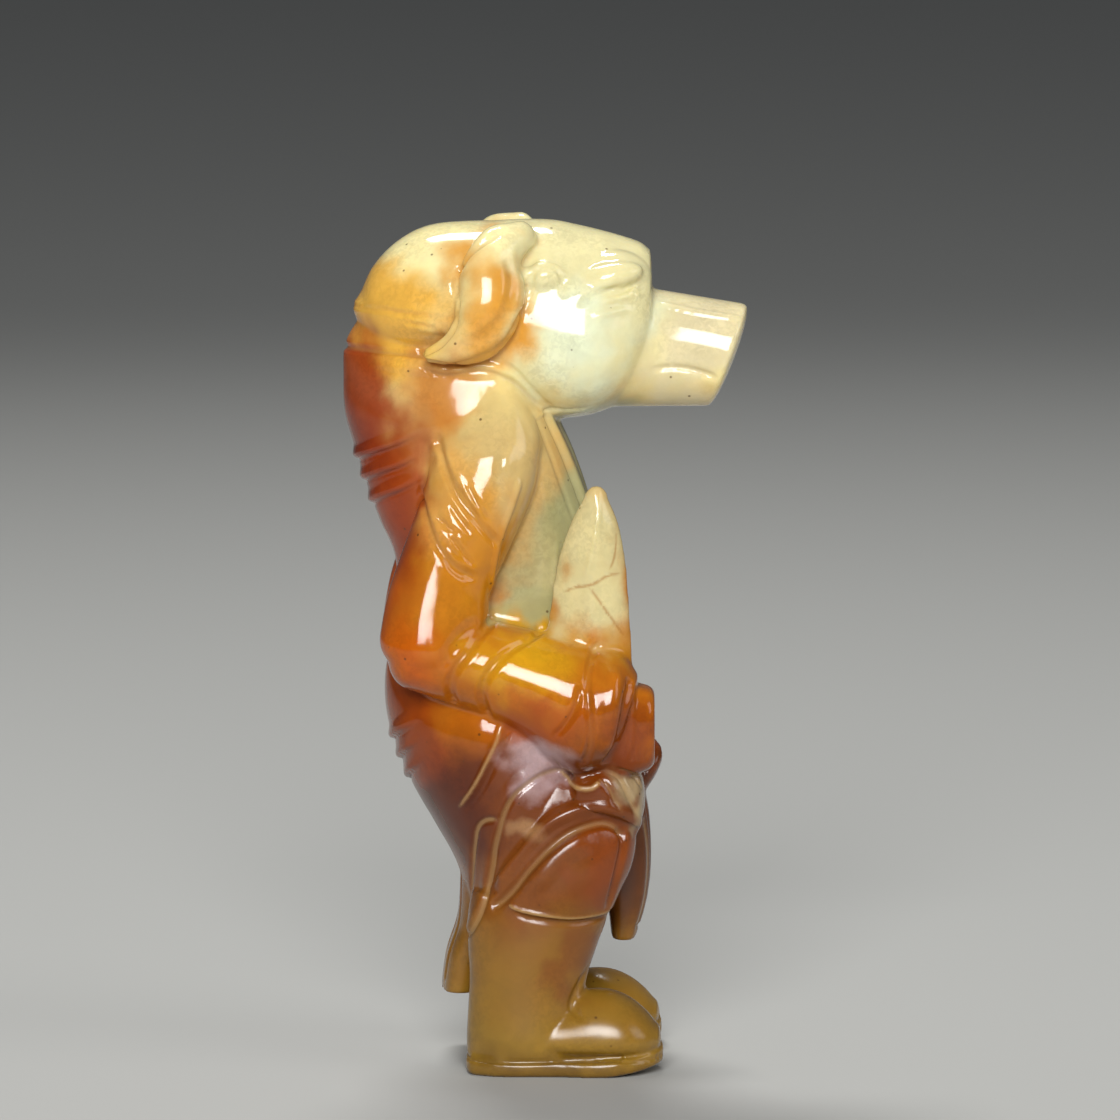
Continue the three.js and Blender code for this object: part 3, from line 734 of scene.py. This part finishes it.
print("deepest cut so far, mm:", round(-relief.min(), 2))

# %% [markdown]
# ## Carve the robe, the knees and the boots
# The robe's rear flap ends in one long curved edge, from the hip down behind the knee. Over
# the knee the trousers rise in a thick rolled fold, with the round knee set off below it,
# and a thin raised hem marks the top of the boot. Pale tone lies in most of these lines.

# %% Carve the robe's side
for view, _ in VIEWS:
    cut(drop([(-2.9, 24.9), (-3.3, 23.5), (-4.0, 22.0), (-4.8, 20.4), (-6.0, 18.5)], view), -0.16, 0.3,
        pale=0.7)
    cut(drop([(-2.3, 24.7), (-2.75, 23.3), (-3.45, 21.8), (-4.3, 20.1), (-5.4, 18.4)], view), 0.14, 0.35)
    cut(drop([(1.4, 21.5), (0.0, 21.2), (-1.1, 20.6), (-2.1, 19.7), (-2.7, 18.6), (-3.1, 17.2),
              (-3.4, 15.9), (-3.6, 14.4), (-4.1, 12.3), (-4.6, 10.9), (-5.4, 9.4)], view), 0.24, 0.42,
        raised=0.2, run=1.3, side=RIGHT, pale=0.6, taper=0.6)
    cut(drop([(-2.9, 18.1), (-4.0, 17.9), (-4.6, 17.3), (-4.85, 16.0), (-5.0, 14.3), (-5.15, 12.2)],
             view), 0.2, 0.38, pale=0.7)

# %% Carve the knees and the boots
SOLE_LINE = [(-180, 2.0), (-165, 1.75), (-150, 1.4), (-110, 1.15), (0, 1.1), (110, 1.15),
             (150, 1.4), (165, 1.75), (180, 2.0)]

for view, side in VIEWS:
    cut(drop([(-3.3, 12.9), (-2.7, 14.1), (-1.7, 15.5), (-0.7, 16.7), (0.4, 17.8), (2.0, 18.6),
              (3.8, 18.9), (5.2, 18.5), (6.2, 17.6), (6.6, 16.4)], view), -0.45, 0.75, taper=1.6)
    cut(drop([(-3.7, 11.6), (-2.4, 12.9), (-1.2, 14.4), (0.1, 15.8), (1.6, 17.0), (3.0, 17.6),
              (4.3, 17.75), (5.3, 17.2), (5.75, 16.4)], view), 0.42, 0.55, pale=0.5)
    cut(drop([(-1.4, 13.0), (-0.1, 14.5), (1.0, 15.7), (2.3, 16.5), (3.7, 16.8)], view), -0.32, 1.25,
        taper=1.8)
    cut(drop([(5.35, 17.5), (5.5, 16.1), (5.2, 14.6), (4.8, 13.0), (4.4, 11.5)], view), 0.3, 0.55)
    cut(drop([(-2.5, 12.15), (-1.6, 11.75), (0.4, 11.4), (2.3, 11.2), (4.6, 11.4)], view), -0.2, 0.26,
        pale=1.0, taper=0.4)
    cut(drop([(-2.2, 11.65), (-1.4, 11.3), (0.4, 11.0), (2.3, 10.8), (4.5, 11.0)], view), 0.16, 0.34,
        taper=0.6)
    cut(drop([(3.3, 7.6), (2.5, 6.3), (2.0, 5.2), (2.1, 4.5), (2.8, 4.0)], view), 0.22, 0.5)
    cut(around(SOLE_LINE, x=0, y=LEG_Y * side), 0.13, 0.26, taper=0.1, pale=0.25)

# %% Carve the sash
SASH_FOLDS = [
    [(4.3, 21.4), (5.2, 20.9), (5.9, 19.5), (6.5, 18.1)],
    [(4.9, 21.6), (6.1, 21.1), (6.8, 20.0)],
    [(3.9, 21.0), (4.4, 20.4), (5.0, 19.3), (5.4, 18.6)],
]
for fold in SASH_FOLDS:
    cut(drop(fold, "near"), 0.2, 0.36, raised=0.1, run=0.6, pale=0.5, taper=0.6)
cut(drop([(1.0, 21.6), (1.5, 20.9), (1.9, 20.45), (2.6, 20.2), (3.4, 20.3), (4.0, 20.9)], "near"),
    -0.16, 0.36, pale=0.9, taper=0.6)

# %% [markdown]
# ## Carve the back and the front
# Folds hang in curves round the back and, lower down, round the seat. Each one ends in a
# sharp lower edge, so from the side they stand out as small steps. In front the robe lies
# open on the chest, with a plain border, over a soft navel, and the panel below has long
# upright folds.

# %% Carve the back
# Each fold is named by its height at the sides and its height in the middle of the back.
BACK_FOLDS = ((44.6, 42.3), (43.1, 40.8), (41.5, 39.2))
SEAT_FOLDS = ((24.6, 22.6), (23.2, 21.2), (21.8, 19.8))

for high, low in BACK_FOLDS + SEAT_FOLDS:
    swag = [(-52, high), (-34, (high + low) / 2), (0, low), (34, (high + low) / 2), (52, high)]
    cut(around(swag[::-1])[::-1], 0.14, 0.35, raised=0.34, run=1.15, taper=2.5)
cut(around([(-80, 49.2), (-50, 49.9), (0, 50.15), (50, 49.9), (80, 49.2)]), 0.24, 0.38, pale=0.45)
for y in (-1.2, 1.6, 4.2):
    cut(drop([(y - 0.3, 17.5), (y, 12.5), (y + 0.2, 5.2)], "back"), 0.22, 0.5, taper=1.5)

# %% Carve the front
for side in (NEAR, FAR):
    lapel = [(3.9 * side, 46.3), (3.5 * side, 44.2), (2.9 * side, 41.3), (2.1 * side, 38),
             (1.0 * side, 34.6), (0.2 * side, 32)]
    border = [(y + 1.3 * side, z) for y, z in lapel]
    raised_side = LEFT if side == NEAR else RIGHT
    cut(drop(lapel, "front"), 0.2, 0.4, raised=0.3, run=1.8, side=raised_side)
    cut(drop(border, "front"), 0.1, 0.3, taper=1.5)
press((5, 0, 33.5), (2.5, 1.1, 1.0), 0.35)
for y, low in ((0.2, 9.5), (1.7, 9), (3.2, 9.5)):
    cut(drop([(y - 0.3, 18.6), (y, 14), (y + 0.15, low)], "front"), 0.2, 0.5, taper=1.5)
cut(drop([(-1.2, 9.4), (1.6, 9.2), (4.4, 9.4)], "front"), 0.12, 0.3, pale=0.4, taper=0.3)
cut(drop([(6.95, 17.2), (7.3, 14.5), (7.1, 11.5), (6.4, 8.9)], "near"), 0.1, 0.45, pale=0.6)
print("carved points:", int((np.abs(relief) > 0.02).sum()))

# %% [markdown]
# ## Finish the skin
# The relief is added along the skin's own directions. A last light smoothing polishes the
# edges of the cuts, the soles are ground flat, and the mesh is thinned to the size that a
# shared part may have.

# %% Raise the relief and thin the mesh
MOST_TRIANGLES = 196_000
POLISHING_PASSES = 2
FLAT_BELOW = 0.06

tone = figure.data.attributes.new("pale_line", "FLOAT", "POINT")
tone.data.foreach_set("value", paleness)
figure.data.vertices.foreach_set("co", (places + relief[:, None] * outward).ravel())
figure.data.update()
apply("SMOOTH", "polishing", factor=0.5, iterations=POLISHING_PASSES)
ground = read(figure.data, "co")
ground[:, 2] = np.where(ground[:, 2] < FLAT_BELOW, 0, ground[:, 2])
figure.data.vertices.foreach_set("co", ground.ravel())
apply("TRIANGULATE", "triangles")
apply("DECIMATE", "thinning", ratio=MOST_TRIANGLES / len(figure.data.polygons))
figure.scale = (MM, MM, MM)
bpy.ops.object.select_all(action="DESELECT")
figure.select_set(True)
bpy.ops.object.transform_apply(location=False, rotation=False, scale=True)
bpy.ops.object.shade_smooth()
print("triangles:", len(figure.data.polygons))

# %% [markdown]
# ## Jade
# The stone is pale green-white inside, and its skin has turned honey, orange and brown. The
# tones lie in large soft zones, so each zone is a rounded region with a place, a reach and
# a colour, and noise bends its border. Two zones, on the hip and on the thigh, are a painted
# sheen: a grey-lilac and a tan painted reflection of the light, laid into the colour. Over
# them lie clouds, fine grain, dark specks, the pale tone in the cut lines and the brown of
# the cracks. Light passes a little way into the stone, which subsurface scattering gives.
# The polish is close to glass above, and duller on the legs and the boots.

# %% Start the material
stone = bpy.data.materials.new("polished_jade")
stone.use_nodes = True
tree = stone.node_tree
shader = tree.nodes["Principled BSDF"]


def node(kind, links, **settings):
    """Add a node. links gives each input a number, a colour or another node's output."""
    made = tree.nodes.new("ShaderNode" + kind)
    for name, value in settings.items():
        setattr(made, name, value)
    for socket, value in links.items():
        if isinstance(value, bpy.types.NodeSocket):
            tree.links.new(value, made.inputs[socket])
        else:
            made.inputs[socket].default_value = value
    return made


def tint(code):
    """A colour from its six-figure code, as the light that it gives back."""
    parts = [int(code[i:i + 2], 16) / 255 for i in (1, 3, 5)]
    return [p / 12.92 if p < 0.04 else ((p + 0.055) / 1.055) ** 2.4 for p in parts] + [1]


def blend(under, over, share, how="MIX"):
    """One colour laid over another."""
    return node("Mix", {0: share, 6: under, 7: over}, data_type="RGBA", blend_type=how).outputs[2]


def spread(value, low, high, start=0.0, end=1.0):
    """A soft step from start to end, as the value goes from low to high."""
    links = {0: value, 1: low, 2: high, 3: start, 4: end}
    return node("MapRange", links, interpolation_type="SMOOTHSTEP").outputs[0]


def noise(scale, detail=3.0, distortion=0.0):
    """A cloudy pattern. A scale of 1000 gives clouds of about a millimetre."""
    return node("TexNoise", {"Vector": spot, "Scale": scale, "Detail": detail,
                             "Distortion": distortion})


spot = node("TexCoord", {}).outputs["Object"]
print("material:", stone.name)

# %% Lay the ground tones
HEIGHT = 59 * MM
COARSE_WANDER, FINE_WANDER = 7 * MM, 1.4 * MM
GROUND_TONES = (
    # share of the height, colour
    (0.0, "#6E5018"), (0.03, "#8C6A22"), (0.17, "#82561A"), (0.22, "#7A4210"), (0.3, "#6E360A"),
    (0.36, "#6A3006"), (0.42, "#A85A08"), (0.6, "#B8741A"), (0.74, "#D2A45A"), (0.82, "#E2D08A"),
    (1.0, "#ECDFA4"),
)


def wander(place, scale, detail, reach):
    """A place moved about by a cloudy pattern, up to half the reach each way."""
    shift = noise(scale, detail).outputs["Color"]
    shift = node("VectorMath", {0: shift, 1: (0.5, 0.5, 0.5)}, operation="SUBTRACT").outputs[0]
    shift = node("VectorMath", {0: shift, 1: (reach,) * 3}, operation="MULTIPLY").outputs[0]
    return node("VectorMath", {0: place, 1: shift}, operation="ADD").outputs[0]


bent = wander(spot, 230, 2, COARSE_WANDER)
bent = wander(bent, 900, 3, FINE_WANDER)
height = node("SeparateXYZ", {0: bent}).outputs[2]
height = node("MapRange", {0: height, 1: 0.0, 2: HEIGHT}).outputs[0]
ramp = node("ValToRGB", {0: height})
stops = ramp.color_ramp.elements
while len(stops) < len(GROUND_TONES):
    stops.new(0.5)
for stop, (share, code) in zip(stops, GROUND_TONES):
    stop.position, stop.color = share, tint(code)
colour = ramp.outputs[0]
print("ground tones:", len(GROUND_TONES))

# %% Lay the zones of colour
ZONE_CORE, ZONE_EDGE = 0.55, 1.15
ZONES = (
    # name, middle x y z, reach x y z, colour, strength
    ("cream head", (3, 0, 54), (12, 12, 9), "#D9D09F", 0.9),
    ("pale green cheek", (2.5, 0, 50.5), (5.5, 12, 5), "#D6DDC0", 0.8),
    ("cream snout", (11, 0, 50), (5.5, 6, 6), "#D3C5A0", 0.75),
    ("honey cap base", (-11, 0, 52), (5.5, 12, 5), "#DD9D08", 0.8),
    ("honey ear", (-4.2, 0, 53.3), (3.3, 14, 6), "#CF8A14", 0.9),
    ("green chest", (3, 0, 39), (5.5, 5.5, 12), "#A4A478", 0.85),
    ("cream shoulder", (-2.3, 0, 43), (4, 14, 6), "#C4AE75", 0.75),
    ("amber shoulder", (-6.9, 0, 47.2), (3.6, 14, 4.8), "#B4640A", 0.8),
    ("rust nape", (-13.6, 0, 45.5), (4.4, 14, 8), "#902302", 0.9),
    ("rust back", (-12, 0, 38), (5, 8, 9), "#782302", 0.85),
    ("rust back of the sleeve", (-9.8, 0, 37), (3.3, 14, 11), "#963604", 0.85),
    ("golden sleeve", (-4.5, 0, 38), (2.8, 14, 6), "#C18008", 0.6),
    ("rust elbow", (-9.5, 0, 29.5), (4.5, 14, 5), "#BA5401", 0.85),
    ("golden forearm", (-1, 0, 29), (6.5, 14, 3.2), "#CE9C15", 0.8),
    ("green belly", (0.2, 0, 35.6), (4.3, 8.2, 6.4), "#A6A272", 0.9),
    ("orange forearm", (0.5, 0, 24.5), (4.5, 14, 3), "#963902", 0.8),
    ("green foot of the recess", (-0.6, -4.6, 31.8), (3.4, 2.6, 2.0), "#A6A272", 0.9),
    ("brown cuff", (5.5, 0, 24), (3.2, 14, 5), "#702A04", 0.85),
    ("cream blade", (3.2, -6, 35), (3.6, 3, 8), "#CCC08D", 0.95),
    ("golden blade foot", (4.5, -6, 29), (3, 3, 2.6), "#C08C20", 0.5),
    ("orange seat", (-9.5, 0, 24), (4.5, 14, 6), "#833304", 0.85),
    ("brown seat", (-6.5, 0, 18.5), (4, 14, 4.5), "#4F1A05", 0.8),
    # painted sheen: a grey-lilac painted reflection of the light over the hip, laid into the colour
    ("painted sheen on the hip", (-0.5, 0, 21.8), (3.2, 14, 2.2), "#C1A9AB", 0.7),
    # painted sheen: a lighter tan painted reflection of the light on the thigh, laid into the colour
    ("painted sheen on the thigh", (-1.4, 0, 17.6), (1.9, 14, 1.6), "#B28B5F", 0.5),
    ("red knee", (3.6, 0, 15.2), (3, 14, 3.6), "#7E3806", 0.85),
    ("red shin", (2.2, 0, 8.4), (2.3, 14, 3.6), "#6E3210", 0.55),
    ("pale sash", (5.6, -6, 19.9), (2, 4, 2.3), "#A6926D", 0.8),
    ("orange far hand", (6, 3.5, 20.5), (3, 3, 3), "#963E04", 0.8),
    ("dark panel", (6, 1, 13.5), (2.4, 5, 6), "#4C2508", 0.7),
)
for name, middle, reach, code, strength in ZONES:
    away = node("VectorMath", {0: bent, 1: [v * MM for v in middle]}, operation="SUBTRACT").outputs[0]
    away = node("VectorMath", {0: away, 1: [v * MM for v in reach]}, operation="DIVIDE").outputs[0]
    away = node("VectorMath", {0: away}, operation="LENGTH").outputs["Value"]
    colour = blend(colour, tint(code), spread(away, ZONE_CORE, ZONE_EDGE, strength, 0))
print("zones of colour:", len(ZONES))

# %% Add clouds, grain, specks and lines
PALE_TONE, CRACK_TONE, SPECK_TONE = "#A88452", "#9A6424", "#4A2A10"
CLOUDS = 0.35
SPECKS_PER_METRE = 520

cloud = spread(noise(420, 4, 0.6).outputs["Fac"], 0.3, 0.75, 0.8, 1.14)
cloud = node("CombineColor", {0: cloud, 1: cloud, 2: cloud}).outputs[0]
colour = blend(colour, cloud, CLOUDS, "MULTIPLY")
grain = spread(noise(2600, 5, 0.8).outputs["Fac"], 0.35, 0.68, 1.04, 0.9)
grain = node("CombineColor", {0: grain, 1: grain, 2: grain}).outputs[0]
grain_patches = spread(noise(260, 1).outputs["Fac"], 0.4, 0.62, 0.15, 1)
colour = blend(colour, grain, grain_patches, "MULTIPLY")
speck = node("TexVoronoi", {"Vector": spot, "Scale": SPECKS_PER_METRE}, feature="F1")
speck = spread(speck.outputs["Distance"], 0.03, 0.07, 0.75, 0)
colour = blend(colour, tint(SPECK_TONE), speck)
pale_line = node("Attribute", {}, attribute_name="pale_line").outputs["Fac"]
pale_share = spread(pale_line, 0.05, 0.95, 0, 0.75)
colour = blend(colour, tint(PALE_TONE), pale_share)
colour = blend(colour, tint(CRACK_TONE), spread(pale_line, -0.3, -0.02, 0.6, 0))
tree.links.new(colour, shader.inputs["Base Color"])
print("nodes in the colour:", len(tree.nodes))

# %% Set the polish
POLISH, POLISH_LOW = 0.09, 0.24

shader.inputs["IOR"].default_value = 1.5
shader.inputs["Subsurface Weight"].default_value = 0.3
shader.inputs["Subsurface Radius"].default_value = (0.8, 0.6, 0.35)
shader.inputs["Subsurface Scale"].default_value = 1.8 * MM
rough = spread(height, 0.3, 0.42, POLISH_LOW, POLISH)
rough = node("Math", {0: rough, 1: spread(pale_share, 0.1, 0.8, 0, 0.15)}, operation="ADD").outputs[0]
tree.links.new(rough, shader.inputs["Roughness"])
ripple = noise(260, 2).outputs["Fac"]
bump = node("Bump", {"Height": ripple, "Strength": 0.12, "Distance": 0.4 * MM})
tree.links.new(bump.outputs[0], shader.inputs["Normal"])
figure.data.materials.clear()
figure.data.materials.append(stone)

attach(figure, "root")
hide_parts("statue")
print("piece:", figure.name, "in", figure.data.materials[0].name)

# %% [markdown]
# ## Studio
# The figure stands on a plain pale floor. The key is a soft box a little above the camera
# and just to its left, which gives the long bright reflections on the sleeves. A small box
# high behind the figure picks out the top of the head, and a weak one on the right fills
# the shade. Their spread is narrowed, because a brightly lit floor would throw a pale veil
# on the polished stone.

# %% Lay the floor
FLOOR_SIZE = 4
FLOOR_TONE = "#ACACA8"

bpy.ops.object.select_all(action="DESELECT")
bpy.ops.mesh.primitive_plane_add(size=FLOOR_SIZE)
floor = bpy.context.object
floor.name = "floor"
paper = bpy.data.materials.new("pale_paper")
paper.use_nodes = True
paper_shader = paper.node_tree.nodes["Principled BSDF"]
paper_shader.inputs["Base Color"].default_value = tint(FLOOR_TONE)
paper_shader.inputs["Roughness"].default_value = 0.8
floor.data.materials.append(paper)
print("floor, metres across:", FLOOR_SIZE)

# %% Set the lights
LIGHTS = (
    # name, turn left of the camera and height above level in degrees, distance, width and
    # depth in metres, power in watts
    ("key", 4, 25, 0.9, 0.46, 0.4, 2.05),
    ("top", 165, 62, 0.8, 0.3, 0.16, 0.8),
    ("fill", -65, 25, 1.1, 0.6, 0.6, 0.5),
)
SPREAD = 80
LIT_PLACE = Vector((0, 0, 32 * MM))

for name, turn, rise, distance, width, depth, power in LIGHTS:
    turn, rise = math.radians(turn), math.radians(rise)
    level_out = math.cos(rise)
    out = Vector((-math.sin(turn) * level_out, -math.cos(turn) * level_out, math.sin(rise)))
    lamp = bpy.data.lights.new(name, "AREA")
    lamp.shape, lamp.size, lamp.size_y, lamp.energy = "RECTANGLE", width, depth, power
    lamp.spread = math.radians(SPREAD)
    holder = bpy.data.objects.new(name, lamp)
    bpy.context.scene.collection.objects.link(holder)
    holder.location = LIT_PLACE + distance * out
    holder.rotation_euler = out.to_track_quat("Z", "Y").to_euler()
print("lights:", len(LIGHTS))

# %% Set the light of the room
ROOM_TONE = "#BFC3C8"
ROOM_STRENGTH = 0.17

world = bpy.data.worlds.new("studio")
world.use_nodes = True
world.node_tree.nodes["Background"].inputs["Color"].default_value = tint(ROOM_TONE)
world.node_tree.nodes["Background"].inputs["Strength"].default_value = ROOM_STRENGTH
bpy.context.scene.world = world
bpy.context.scene.view_settings.view_transform = "Standard"
print("light of the room:", ROOM_STRENGTH)
